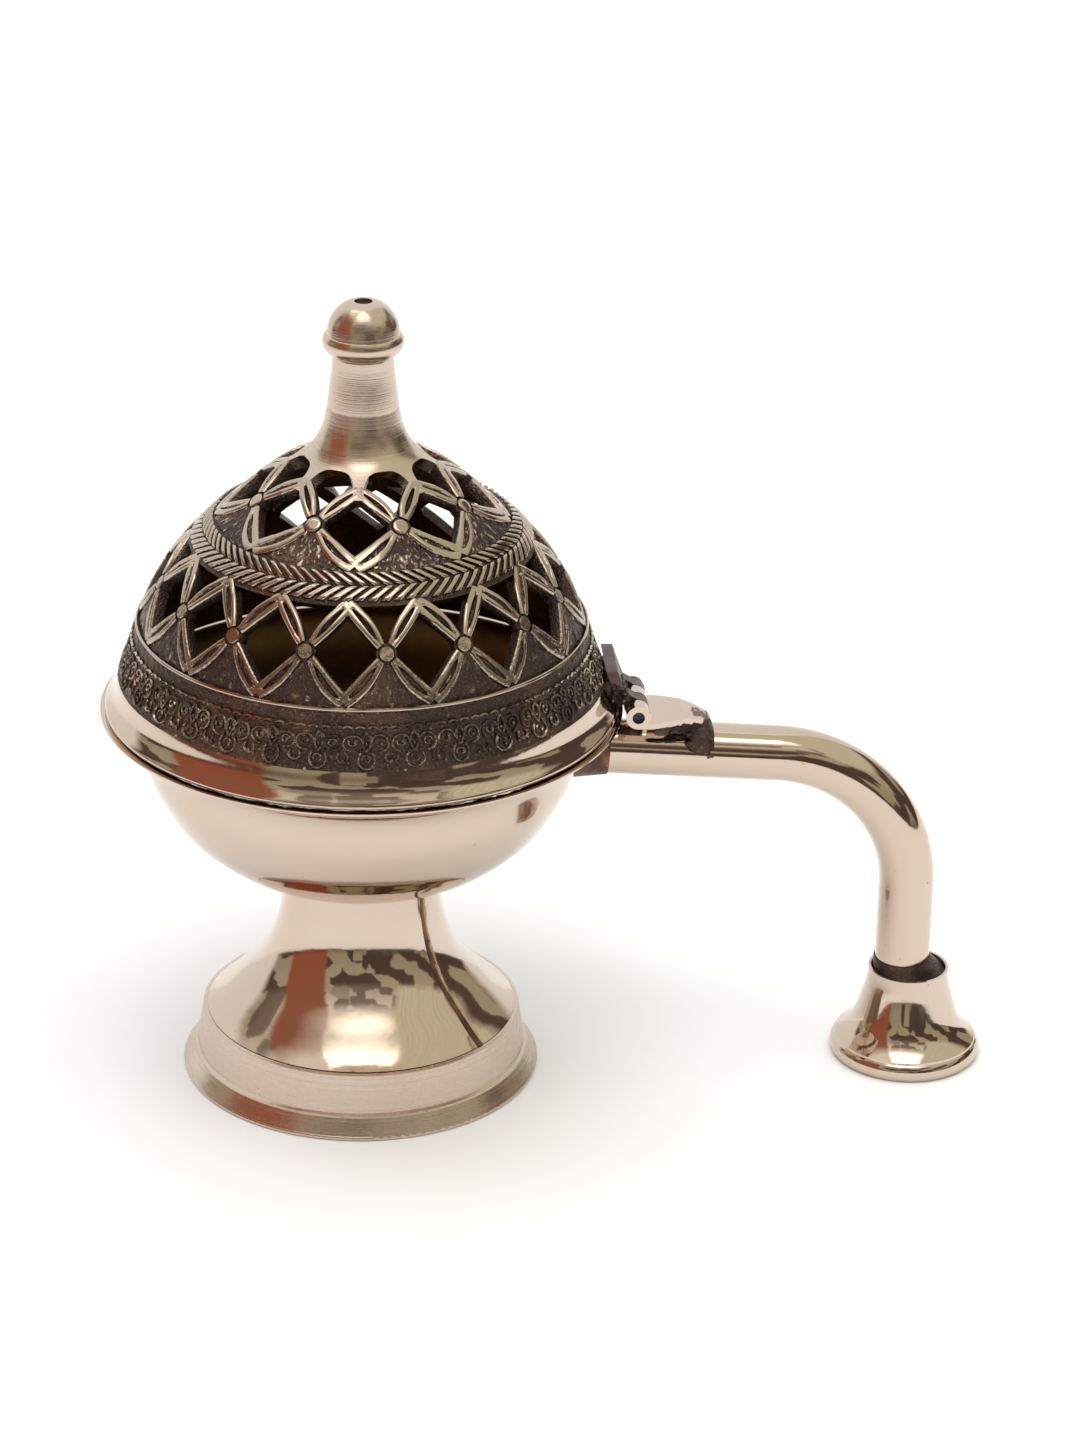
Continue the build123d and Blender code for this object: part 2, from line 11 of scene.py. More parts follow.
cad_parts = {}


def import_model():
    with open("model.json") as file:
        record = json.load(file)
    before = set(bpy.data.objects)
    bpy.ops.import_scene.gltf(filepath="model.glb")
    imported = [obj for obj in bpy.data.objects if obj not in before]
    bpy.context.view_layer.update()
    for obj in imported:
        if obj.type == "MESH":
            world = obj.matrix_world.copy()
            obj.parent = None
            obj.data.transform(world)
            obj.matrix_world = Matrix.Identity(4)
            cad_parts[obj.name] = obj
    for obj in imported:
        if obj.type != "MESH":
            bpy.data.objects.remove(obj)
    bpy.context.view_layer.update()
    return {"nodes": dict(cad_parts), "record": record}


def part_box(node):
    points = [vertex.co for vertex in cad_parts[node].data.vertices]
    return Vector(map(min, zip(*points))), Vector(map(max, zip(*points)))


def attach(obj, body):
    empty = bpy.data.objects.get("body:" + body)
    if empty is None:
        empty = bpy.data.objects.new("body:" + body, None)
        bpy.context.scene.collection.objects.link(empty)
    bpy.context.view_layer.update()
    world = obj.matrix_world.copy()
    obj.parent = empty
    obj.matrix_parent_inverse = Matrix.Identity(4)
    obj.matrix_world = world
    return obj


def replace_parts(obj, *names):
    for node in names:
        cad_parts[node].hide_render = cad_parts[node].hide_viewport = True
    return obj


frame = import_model()
nodes = frame["nodes"]
MM = 0.001
rng = np.random.default_rng(7)

# ---- the dome's lattice, in millimetres of height on its outer surface -----------------------
LOWER_FLOWERS, LOWER_PHASE = 16, radians(4.7)
UPPER_FLOWERS, UPPER_PHASE = 8, radians(17.4)
BORDER_Z = 83.4            # lower edge of the ornamented border
DASH_Z = 90.9              # scalloped line across the border
RIDGE_Z = 94.1             # thin polished ridge above the border
LOW_JOIN_Z, LOW_FLOWER_Z, LOW_TOP_Z = 95.6, 103.3, 110.6
RING_LOW_Z, RING_MID_Z, RING_TOP_Z = 111.1, 113.25, 115.1
UP_JOIN_Z, UP_FLOWER_Z, UP_TOP_Z = 116.1, 120.9, 125.8
ARCH_Z = 128.0             # top of the arched openings cut in the cone
ARCH_W = 0.84              # their share of the spacing
ARCH_POWER = 3.2           # how square their tops are: 2 is an ellipse
WALL = 2.3 * MM
COLUMNS = 1024             # points round the dome
AROUND = tau * np.arange(COLUMNS) / COLUMNS    # their azimuths
GROUND = 0.45              # depth of the tiers' stippled ground below the dome's surface
SUNK = 0.25                # the same for the ground of the border and of the herringbone
RING_GAP = 1.28            # start of a petal, in radii of its boss
BORDER_ROWS, TIER_ROWS, RING_ROWS = 45, 26, 18
LEAVES = 84                # in each row of the herringbone


# ---- profile of the dome, measured on the CAD node ---------------------------------------------
OUTSIDE = 0.3              # radius from which the rays start, metres
OFF_GRID = 0.37            # turns them off the lattice's own spacing


def outer_radius(node, heights, azimuths=48):
    """Largest radius at which a horizontal ray from outside meets the node, per height."""
    tree = BVHTree.FromObject(nodes[node], bpy.context.evaluated_depsgraph_get())
    out = []
    for z in heights:
        best = 0.0
        for k in range(azimuths):
            a = tau * (k + OFF_GRID) / azimuths
            start = Vector((OUTSIDE * cos(a), OUTSIDE * sin(a), z))
            hit = tree.ray_cast(start, Vector((-cos(a), -sin(a), 0)))[0]
            if hit is not None:
                best = max(best, Vector((hit.x, hit.y)).length)
        out.append(best)
    return np.array(out)


def smoothed(values, passes=6):
    for _ in range(passes):
        inner = (values[:-2] + 2 * values[1:-1] + values[2:]) / 4
        values = np.concatenate([values[:1], inner, values[-1:]])
    return values


DOME_LOW, DOME_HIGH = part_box("lid_dome")
EDGE = 0.05 * MM
PROFILE_Z = np.linspace(DOME_LOW.z + EDGE, DOME_HIGH.z - EDGE, 180)
PROFILE_R = smoothed(outer_radius("lid_dome", PROFILE_Z))
STEP = np.hypot(np.diff(PROFILE_Z), np.diff(PROFILE_R))
PROFILE_S = np.concatenate([[0], np.cumsum(STEP)])
NORMAL_R = np.gradient(PROFILE_Z, PROFILE_S)
NORMAL_Z = -np.gradient(PROFILE_R, PROFILE_S)


def arc(height_mm):
    """Arc length up the dome at a height."""
    return np.interp(np.asarray(height_mm, float) * MM, PROFILE_Z, PROFILE_S)


def radius_at(s):
    return np.interp(s, PROFILE_S, PROFILE_R)


def surface(azimuth, s, lift):
    """Points on the dome at azimuth and arc length, lifted along the surface normal."""
    nr = np.interp(s, PROFILE_S, NORMAL_R)
    nz = np.interp(s, PROFILE_S, NORMAL_Z)
    r = radius_at(s) + lift * nr
    z = np.interp(s, PROFILE_S, PROFILE_Z) + lift * nz
    return np.stack([r * np.cos(azimuth), r * np.sin(azimuth), z], -1)


# ---- mesh building -------------------------------------------------------------------------------
class Build:
    """Collects closed solids, with a wear value per vertex, into one mesh object."""

    def __init__(self):
        self.points, self.wear, self.faces, self.count = [], [], [], 0

    def add(self, points, faces, wear):
        points = np.asarray(points, float).reshape(-1, 3)
        self.points.append(points)
        self.wear.append(np.broadcast_to(np.asarray(wear, float).ravel(), (len(points),)))
        self.faces.extend([tuple(i + self.count for i in f) for f in faces])
        self.count += len(points)

    def patch(self, top, bottom, wear_top, wear_bottom=0.0):
        """Solid between two grids of points of the same shape, closed on all four sides."""
        m, n = top.shape[:2]
        half = m * n
        faces = []
        for i in range(m - 1):
            for j in range(n - 1):
                a, b, c, d = i * n + j, i * n + j + 1, (i + 1) * n + j + 1, (i + 1) * n + j
                faces.append((a, b, c, d))
                faces.append((half + d, half + c, half + b, half + a))
        edge = [j for j in range(n)] + [i * n + n - 1 for i in range(1, m)]
        edge += [(m - 1) * n + j for j in range(n - 2, -1, -1)]
        edge += [i * n for i in range(m - 2, 0, -1)]
        for a, b in zip(edge, edge[1:] + edge[:1]):
            faces.append((b, a, half + a, half + b))
        wear = np.concatenate([np.broadcast_to(wear_top, (m, n)).ravel(),
                               np.full(half, wear_bottom)])
        self.add(np.concatenate([top.reshape(-1, 3), bottom.reshape(-1, 3)]), faces, wear)

    def band(self, outer, inner, wear_outer, wear_inner=0.0):
        """Solid ring between two grids that close on themselves along their second axis."""
        m, n = outer.shape[:2]
        half = m * n
        faces = []
        for i in range(m - 1):
            for j in range(n):
                k = (j + 1) % n
                a, b, c, d = i * n + j, i * n + k, (i + 1) * n + k, (i + 1) * n + j
                faces.append((a, b, c, d))
                faces.append((half + d, half + c, half + b, half + a))
        last = (m - 1) * n
        for j in range(n):
            k = (j + 1) % n
            faces.append((k, j, half + j, half + k))
            faces.append((last + j, last + k, half + last + k, half + last + j))
        wear = np.concatenate([np.broadcast_to(wear_outer, (m, n)).ravel(),
                               np.full(half, wear_inner)])
        self.add(np.concatenate([outer.reshape(-1, 3), inner.reshape(-1, 3)]), faces, wear)

    def tube(self, path, radius, wear, sides=6, closed=True):
        """Round bead along a path of points; its cross-section faces along the path."""
        path = np.asarray(path, float)
        n = len(path)
        if closed:
            ahead = np.roll(path, -1, 0) - np.roll(path, 1, 0)
        else:
            ahead = np.gradient(path, axis=0)
        ahead /= np.linalg.norm(ahead, axis=1)[:, None]
        out = path * np.array([1, 1, 0.6])
        out /= np.linalg.norm(out, axis=1)[:, None]
        side = np.cross(ahead, out)
        side /= np.linalg.norm(side, axis=1)[:, None]
        out = np.cross(side, ahead)
        turn = tau * np.arange(sides) / sides
        radius = np.broadcast_to(radius, (n,))[:, None, None]
        rings = path[:, None] + radius * (np.cos(turn)[None, :, None] * out[:, None]
                                          + np.sin(turn)[None, :, None] * side[:, None])
        faces = []
        for i in range(n if closed else n - 1):
            for j in range(sides):
                a, b = i * sides + j, i * sides + (j + 1) % sides
                c, d = ((i + 1) % n) * sides + (j + 1) % sides, ((i + 1) % n) * sides + j
                faces.append((a, b, c, d))
        if not closed:
            faces.append(tuple(range(sides))[::-1])
            faces.append(tuple((n - 1) * sides + j for j in range(sides)))
        self.add(rings, faces, wear)

    def disc(self, azimuth, s, radii, lifts, wears, bottom, sides=28):
        """Round boss on the dome: concentric rings of given radius and lift, down to bottom."""
        turn = tau * np.arange(sides) / sides
        points = [surface(np.array([azimuth]), np.array([s]), np.array([lifts[0]]))]
        wear = [[wears[0]]]
        rings = list(zip(radii, lifts, wears)) + [(radii[-1], bottom, 0.0)]
        for radius, lift, w in rings:
            arc_s = s + radius * np.sin(turn)
            az = azimuth + radius * np.cos(turn) / radius_at(arc_s)
            points.append(surface(az, arc_s, np.full(sides, lift)))
            wear.append([w] * sides)
        faces = [(0, 1 + j, 1 + (j + 1) % sides) for j in range(sides)]
        for i in range(len(rings) - 1):
            for j in range(sides):
                a, b = 1 + i * sides + j, 1 + i * sides + (j + 1) % sides
                faces.append((a, a + sides, b + sides, b))
        base = 1 + (len(rings) - 1) * sides
        faces.append(tuple(base + j for j in range(sides))[::-1])
        self.add(np.concatenate(points), faces, np.concatenate([np.array(w, float) for w in wear]))

    def mesh(self, name, body, material, smooth_angle=40):
        data = bpy.data.meshes.new(name)
        data.from_pydata(np.concatenate(self.points).tolist(), [], self.faces)
        wear = data.attributes.new("wear", "FLOAT", "POINT")
        wear.data.foreach_set("value", np.concatenate(self.wear).astype(np.float32))
        data.validate()
        piece = bpy.data.objects.new(name, data)
        bpy.context.scene.collection.objects.link(piece)
        tidy_normals(data)
        data.shade_smooth()
        data.set_sharp_from_angle(angle=radians(smooth_angle))
        data.materials.append(material)
        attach(piece, body)
        return piece


def tidy_normals(data):
    bm = bmesh.new()
    bm.from_mesh(data)
    bmesh.ops.recalc_face_normals(bm, faces=bm.faces)
    bm.to_mesh(data)
    bm.free()


def grain(rows):
    """Random bumps, about -1 to 1, for a strip with this number of rows; they close round the dome."""
    g = rng.standard_normal((rows + 1, COLUMNS))
    g = (g + np.roll(g, 1, 1) + np.roll(g, -1, 1)) / 3
    above = np.concatenate([g[1:], g[-1:]])
    below = np.concatenate([g[:1], g[:-1]])
    g = (g + above + below) / 3
    return g / (2.2 * g.std())


# ---- materials -----------------------------------------------------------------------------------
HOLLOW_MIDDLE = (0, 0, 0.080)    # a point that all inside surfaces of bowl and lid face


class Nodes:
    """Small helper for building a shader: each call adds a node and links its inputs."""

    def __init__(self, name):
        self.material = bpy.data.materials.new(name)
        self.material.use_nodes = True
        self.tree = self.material.node_tree
        self.bsdf = self.tree.nodes["Principled BSDF"]
        texture = self.tree.nodes.new("ShaderNodeTexCoord")
        self.coords = texture.outputs["Object"]
        self.facing = texture.outputs["Normal"]

    def link(self, value, socket):
        if isinstance(value, bpy.types.NodeSocket):
            self.tree.links.new(value, socket)
        else:
            socket.default_value = value

    def set(self, **inputs):
        names = {"base": "Base Color", "metal": "Metallic", "rough": "Roughness",
                 "normal": "Normal"}
        for key, value in inputs.items():
            self.link(value, self.bsdf.inputs[names[key]])

    def noise(self, scale, detail, rough=0.5, vector=None, distort=0.0):
        node = self.tree.nodes.new("ShaderNodeTexNoise")
        node.inputs["Scale"].default_value = scale
        node.inputs["Detail"].default_value = detail
        node.inputs["Roughness"].default_value = rough
        node.inputs["Distortion"].default_value = distort
        self.tree.links.new(vector or self.coords, node.inputs["Vector"])
        return node.outputs["Fac"]

    def cells(self, scale):
        node = self.tree.nodes.new("ShaderNodeTexVoronoi")
        node.inputs["Scale"].default_value = scale
        self.tree.links.new(self.coords, node.inputs["Vector"])
        return node.outputs["Distance"]

    def lathe(self, scale):
        """Noise that is the same all round the upright axis: turning marks."""
        split = self.tree.nodes.new("ShaderNodeSeparateXYZ")
        self.tree.links.new(self.coords, split.inputs["Vector"])
        join = self.tree.nodes.new("ShaderNodeCombineXYZ")
        self.tree.links.new(split.outputs["Z"], join.inputs["Z"])
        return self.noise(scale, 4.0, 0.7, join.outputs["Vector"])

    def inside(self):
        """1 on surfaces that face the middle of the bowl and lid, 0 on the outside; it masks the painted
        shade inside.
        """
        offset = self.tree.nodes.new("ShaderNodeVectorMath")
        offset.operation = "SUBTRACT"
        self.tree.links.new(self.coords, offset.inputs[0])
        offset.inputs[1].default_value = HOLLOW_MIDDLE
        unit = self.tree.nodes.new("ShaderNodeVectorMath")
        unit.operation = "NORMALIZE"
        self.tree.links.new(offset.outputs[0], unit.inputs[0])
        dot = self.tree.nodes.new("ShaderNodeVectorMath")
        dot.operation = "DOT_PRODUCT"
        self.tree.links.new(unit.outputs[0], dot.inputs[0])
        self.tree.links.new(self.facing, dot.inputs[1])
        return self.ramp(dot.outputs["Value"], -0.12, -0.3)

    def attribute(self, name):
        node = self.tree.nodes.new("ShaderNodeAttribute")
        node.attribute_name = name
        return node.outputs["Fac"]

    def math(self, op, a, b):
        node = self.tree.nodes.new("ShaderNodeMath")
        node.operation = op
        self.link(a, node.inputs[0])
        self.link(b, node.inputs[1])
        return node.outputs["Value"]

    def ramp(self, value, low, high, out_low=0.0, out_high=1.0):
        node = self.tree.nodes.new("ShaderNodeMapRange")
        node.inputs["From Min"].default_value = low
        node.inputs["From Max"].default_value = high
        node.inputs["To Min"].default_value = out_low
        node.inputs["To Max"].default_value = out_high
        self.link(value, node.inputs["Value"])
        return node.outputs["Result"]

    def mix(self, factor, a, b):
        node = self.tree.nodes.new("ShaderNodeMix")
        node.data_type = "RGBA"
        self.link(factor, node.inputs["Factor"])
        self.link(a, node.inputs[6])
        self.link(b, node.inputs[7])
        return node.outputs[2]

    def bump(self, height, distance, strength, after=None):
        node = self.tree.nodes.new("ShaderNodeBump")
        node.inputs["Distance"].default_value = distance
        node.inputs["Strength"].default_value = strength
        self.link(height, node.inputs["Height"])
        if after is not None:
            self.tree.links.new(after, node.inputs["Normal"])
        return node.outputs["Normal"]


BRASS = (0.64, 0.52, 0.435, 1)
BRASS_WARM = (0.60, 0.46, 0.34, 1)
CAST = (0.50, 0.41, 0.335, 1)
PATINA = (0.085, 0.058, 0.052, 1)
PATINA_WARM = (0.14, 0.088, 0.064, 1)
# painted shade: colour given to the inside surfaces of bowl, pan and lid
INSIDE_SHADE = (0.40, 0.23, 0.08, 1)
STAIN = (0.19, 0.105, 0.095, 1)
STAIN_AT = (0.0650, -0.0018, 0.0740)    # on the hinge's handle leaf, metres


def polished_brass(name="polished_brass", turned=0.0, rough=0.05, hollow=False, pitted=False):
    """Polished sheet or turned brass; hollow gives it a duller inside with painted shade, pitted small
    dark pits.
    """
    n = Nodes(name)
    blotch = n.noise(45.0, 4.0, 0.6)
    fine = n.noise(900.0, 2.0, 0.5)
    pits = n.ramp(n.cells(420.0), 0.05, 0.13 if pitted else 0.08, 1.0, 0.0)
    speck = n.math("MULTIPLY", pits, n.ramp(n.noise(160.0, 2.0), 0.50 if pitted else 0.58, 0.66))
    base = n.mix(n.ramp(blotch, 0.4, 0.75, 0.0, 0.35), BRASS, BRASS_WARM)
    base = n.mix(n.math("MULTIPLY", speck, 0.75), base, PATINA_WARM)
    roughness = n.math("ADD", n.ramp(blotch, 0.3, 0.8, rough, rough + 0.05),
                       n.ramp(fine, 0.45, 0.75, 0.0, 0.03))
    marks = n.lathe(2600.0)
    if turned:
        roughness = n.math("ADD", roughness, n.ramp(marks, 0.35, 0.7, 0.0, turned * 0.25))
    if hollow:
        # painted shade: surfaces facing the middle of the bowl are darkened
        inside_shade_mask = n.inside()
        base = n.mix(inside_shade_mask, base, n.mix(n.ramp(blotch, 0.35, 0.65), INSIDE_SHADE, PATINA_WARM))
        roughness = n.math("ADD", roughness, n.math("MULTIPLY", inside_shade_mask, 0.42))
    normal = n.bump(blotch, 0.0006, 0.10)
    if turned:
        normal = n.bump(marks, 0.00004, min(1.0, turned), normal)
    normal = n.bump(n.math("SUBTRACT", fine, speck), 0.00002, 0.2, normal)
    n.set(base=base, metal=1.0, rough=roughness, normal=normal)
    return n.material


def cast_brass():
    """Antiqued casting: polished where wear is high, dark and grainy in the recesses; its inside
    surfaces get painted shade.
    """
    n = Nodes("cast_brass")
    wear = n.attribute("wear")
    coarse = n.noise(1500.0, 3.0, 0.6)
    broad = n.noise(90.0, 3.0, 0.5)
    uneven = n.math("ADD", wear, n.ramp(coarse, 0.3, 0.7, -0.13, 0.13))
    uneven = n.math("ADD", uneven, n.ramp(broad, 0.3, 0.7, -0.06, 0.06))
    bright = n.ramp(uneven, 0.36, 0.72)
    dark = n.mix(n.ramp(broad, 0.48, 0.68), PATINA, PATINA_WARM)
    stipple = n.cells(2300.0)
    glint = n.math("MULTIPLY", n.ramp(stipple, 0.22, 0.10), n.ramp(n.noise(700.0, 2.0), 0.46, 0.60))
    dark = n.mix(n.math("MULTIPLY", glint, 0.8), dark, CAST)
    # painted shade: surfaces facing the middle of the lid are darkened
    inside_shade_mask = n.inside()
    inner = n.mix(n.ramp(n.noise(60.0, 4.0, 0.6), 0.35, 0.65), INSIDE_SHADE, PATINA_WARM)
    base = n.mix(inside_shade_mask, n.mix(bright, dark, CAST), inner)
    roughness = n.math("ADD", n.ramp(bright, 0.0, 1.0, 0.38, 0.12), n.math("MULTIPLY", inside_shade_mask, 0.3))
    grit = n.noise(2600.0, 3.0, 0.6)
    hidden = n.math("SUBTRACT", 1.0, bright)
    normal = n.bump(n.math("MULTIPLY", grit, hidden), 0.00018, 0.8)
    normal = n.bump(n.math("MULTIPLY", stipple, hidden), -0.00016, 0.9, normal)
    n.set(base=base, metal=1.0, rough=roughness, normal=normal)
    return n.material


def stained_brass():
    """Polished hinge leaf with a heat stain near its tip."""
    n = Nodes("stained_brass")
    blotch = n.noise(60.0, 4.0, 0.6)
    away = n.tree.nodes.new("ShaderNodeVectorMath")
    away.operation = "DISTANCE"
    n.tree.links.new(n.coords, away.inputs[0])
    away.inputs[1].default_value = STAIN_AT
    ragged = n.math("ADD", away.outputs["Value"], n.ramp(n.noise(900.0, 3.0), 0.3, 0.7, -0.0012, 0.0012))
    stain = n.ramp(ragged, 0.0021, 0.0018)
    base = n.mix(stain, n.mix(n.ramp(blotch, 0.4, 0.7), BRASS, BRASS_WARM), STAIN)
    roughness = n.math("ADD", n.ramp(blotch, 0.3, 0.7, 0.12, 0.2), n.math("MULTIPLY", stain, 0.2))
    normal = n.bump(n.math("ADD", blotch, stain), 0.0001, 0.3)
    n.set(base=base, metal=1.0, rough=roughness, normal=normal)
    return n.material


def rough_metal(name, light, dark, rough, grit, depth):
    """Braze, solder or dull metal with a lumpy, mottled surface and painted glints on the tops of its
    lumps.
    """
    n = Nodes(name)
    lumps = n.noise(grit, 5.0, 0.65, distort=0.4)
    broad = n.noise(grit * 0.25, 3.0)
    base = n.mix(n.ramp(broad, 0.38, 0.62), dark, light)
    # painted glints: the tops of the lumps are made lighter in colour
    base = n.mix(n.ramp(lumps, 0.62, 0.72), base, (*[min(1, c * 2.2) for c in light[:3]], 1))
    roughness = n.ramp(lumps, 0.3, 0.7, rough, rough + 0.25)
    n.set(base=base, metal=1.0, rough=roughness, normal=n.bump(lumps, depth, 0.9))
    return n.material


polished = polished_brass()
hollow = polished_brass("hollow_brass", hollow=True)
drawn = polished_brass("drawn_brass", pitted=True)
turned = polished_brass("turned_brass", turned=0.8, rough=0.10)
brushed = polished_brass("brushed_brass", turned=1.0, rough=0.12)
cast = cast_brass()
dull = rough_metal("dull_brass", (0.23, 0.17, 0.16, 1), (0.13, 0.09, 0.085, 1), 0.32, 380.0, 0.0002)
braze = rough_metal("braze", (0.30, 0.15, 0.08, 1), (0.10, 0.06, 0.05, 1), 0.3, 900.0, 0.0004)
solder = rough_metal("solder", (0.12, 0.078, 0.072, 1), (0.035, 0.024, 0.022, 1), 0.2, 700.0, 0.0006)
steel = rough_metal("steel", (0.11, 0.105, 0.11, 1), (0.05, 0.048, 0.05, 1), 0.35, 500.0, 0.0001)

MATERIALS = {"polished_brass": polished, "brushed_brass": brushed, "cast_brass": cast,
             "dull_brass": dull, "braze": braze, "solder": solder, "steel": steel}
for entry in frame["record"]["subparts"]:
    cad = nodes[entry["node"]]
    cad.data.materials.clear()
    cad.data.materials.append(MATERIALS[entry["material_slot"]])
nodes["finial"].data.materials[0] = turned
nodes["handle_tube"].data.materials[0] = drawn
nodes["hinge_handle_leaf"].data.materials[0] = stained_brass()
for node in ("bowl", "charcoal_pan"):
    nodes[node].data.materials[0] = hollow


# ---- dome ----------------------------------------------------------------------------------------
def folded(azimuth, flowers, phase):
    """0 at a flower's azimuth and 1 midway between two flowers."""
    turn = ((azimuth - phase) * flowers / tau) % 1.0
    return 1 - np.abs(2 * turn - 1)


def strip(build, low, high, lift, wear):
    """Wall of the dome all round, between two arc lengths, with a lift and a wear for every point.

    low and high are one value each, or one for each azimuth in AROUND.
    """
    t = np.linspace(0, 1, len(wear))[:, None]
    s = np.broadcast_to(low + t * (high - low), wear.shape)
    a = np.broadcast_to(AROUND, s.shape)
    build.band(surface(a, s, lift), surface(a, s, np.full(s.shape, -WALL)), wear)


SKIRT_EDGE = 1.1 * MM      # thickness at the edge of the skirt
SKIRT_FULL_Z = 80.0        # height in millimetres from which it is as thick as the wall


def skirt():
    """Polished flared skirt below the border, thinner at its edge."""
    build = Build()
    az = tau * np.arange(512) / 512
    s = np.linspace(0, float(arc(BORDER_Z)), 26)
    S, A = np.meshgrid(s, az, indexing="ij")
    thick = SKIRT_EDGE + (WALL - SKIRT_EDGE) * np.clip(S / arc(SKIRT_FULL_Z), 0, 1)
    round_edge = 0.25 * MM * np.exp(-S / (0.3 * MM))
    build.band(surface(A, S, -round_edge), surface(A, S, -thick), 1.0)
    return build.mesh("lid_skirt", "lid", hollow)


# One motif of the border, in millimetres from its middle line and of height
# loops: across, height, radius, bead radius, turn at which the loop opens
LOOPS = ((0, 85.6, 1.65, 0.26, 0.25), (-2.45, 88.3, 1.6, 0.26, -0.12), (2.45, 88.3, 1.6, 0.26, 0.62),
         (-0.1, 85.7, 0.7, 0.2, 0.7), (-2.5, 88.5, 0.7, 0.2, 0.3), (2.6, 88.4, 0.7, 0.2, 0.9),
         (-4.4, 85.9, 1.0, 0.24, 0.25), (0.1, 89.2, 0.8, 0.22, 0.75))
# dots: across, height, radius
DOTS = ((-2.1, 88.5, 0.38), (2.8, 88.2, 0.38), (0.2, 85.7, 0.25), (-4.5, 85.3, 0.4),
        (-3.4, 85.0, 0.3), (3.4, 85.0, 0.3), (0, 88.2, 0.35), (-1.1, 87.0, 0.25), (1.1, 87.0, 0.25))
LEAF_LOW_Z, LEAF_HIGH_Z = 86.9, 90.4
DASHES, DASH_STEP, DASH_HALF = 4, 2.27, 0.85


def border():
    """Ornamented band: stippled ground, scalloped line, trefoils and the ridge above it."""
    build = Build()
    noise = grain(BORDER_ROWS)
    low, high = arc(BORDER_Z), arc(RIDGE_Z)
    above_edge = np.linspace(0, 1, BORDER_ROWS + 1)[:, None] * (high - low)
    sunk = SUNK * MM * np.clip(above_edge / (0.5 * MM), 0, 1)
    strip(build, low, high, 0.13 * MM * noise - sunk, np.clip(0.14 + 0.30 * noise, 0, 1))
    count = 2 * LOWER_FLOWERS
    for k in range(count):
        centre = LOWER_PHASE + tau * (k + 0.5) / count
        jig = rng.normal(0, 0.06, 8)

        def place(u, s, lift=0.0):
            return surface(centre + u * MM / radius_at(s), s, np.zeros_like(s) + lift * MM)

        for u0, z0, radius, bead, gap in LOOPS:
            squash = 1 + rng.normal(0, 0.08)
            arch = tau * (gap + np.linspace(0.12, 0.92 - 0.1 * rng.random(), 18))
            s = arc(z0) + radius * squash * MM * np.sin(arch)
            loop = place(u0 + jig[1] + radius / squash * np.cos(arch), s, -0.08)
            fading = bead * MM * np.linspace(1.1, 0.7, len(arch))
            build.tube(loop, fading, 0.50 + 0.10 * rng.standard_normal(), closed=False)
        for u0, z0, size in DOTS:
            build.disc(centre + u0 * MM / radius_at(arc(z0)), float(arc(z0)),
                       [size * 0.5 * MM, size * MM], [0.18 * MM, 0.0], [0.5, 0.3], -0.5 * MM, 8)
        leaf = np.linspace(0, 1, 9)
        for side in (-1, 1):
            s = arc(LEAF_LOW_Z) + (arc(LEAF_HIGH_Z) - arc(LEAF_LOW_Z)) * leaf
            build.tube(place(side * 0.75 * np.sin(pi * leaf), s), 0.22 * MM, 0.42, closed=False)
        for j in range(DASHES):
            along = np.linspace(-DASH_HALF, DASH_HALF, 7)
            u = (j - (DASHES - 1) / 2) * DASH_STEP + along
            s = arc(DASH_Z) + 0.35 * MM * np.cos(along * 1.6) + 0.1 * MM * jig[j]
            build.tube(place(u, s), 0.26 * MM, 0.95 if jig[j] > -0.05 else 0.5, closed=False)
    az = tau * np.arange(COLUMNS // 2) / (COLUMNS // 2)
    ridge = surface(az, np.full(az.shape, arc(RIDGE_Z)), np.full(az.shape, 0.05 * MM))
    build.tube(ridge, 0.34 * MM, 1.0, sides=8)
    return build.mesh("lid_border", "lid", cast)


RIM = 1.05 * MM            # width of a petal's polished rims
# Half-widths of a petal from the flower to the junction: straight side and bulging side
PETAL_T = [0.0, 0.12, 0.30, 0.55, 0.80, 0.93, 1.0]
STRAIGHT = [0.95, 1.10, 1.24, 1.30, 1.25, 1.22, 1.20]
BULGING = [0.95, 1.22, 1.60, 1.92, 1.85, 1.70, 1.55]


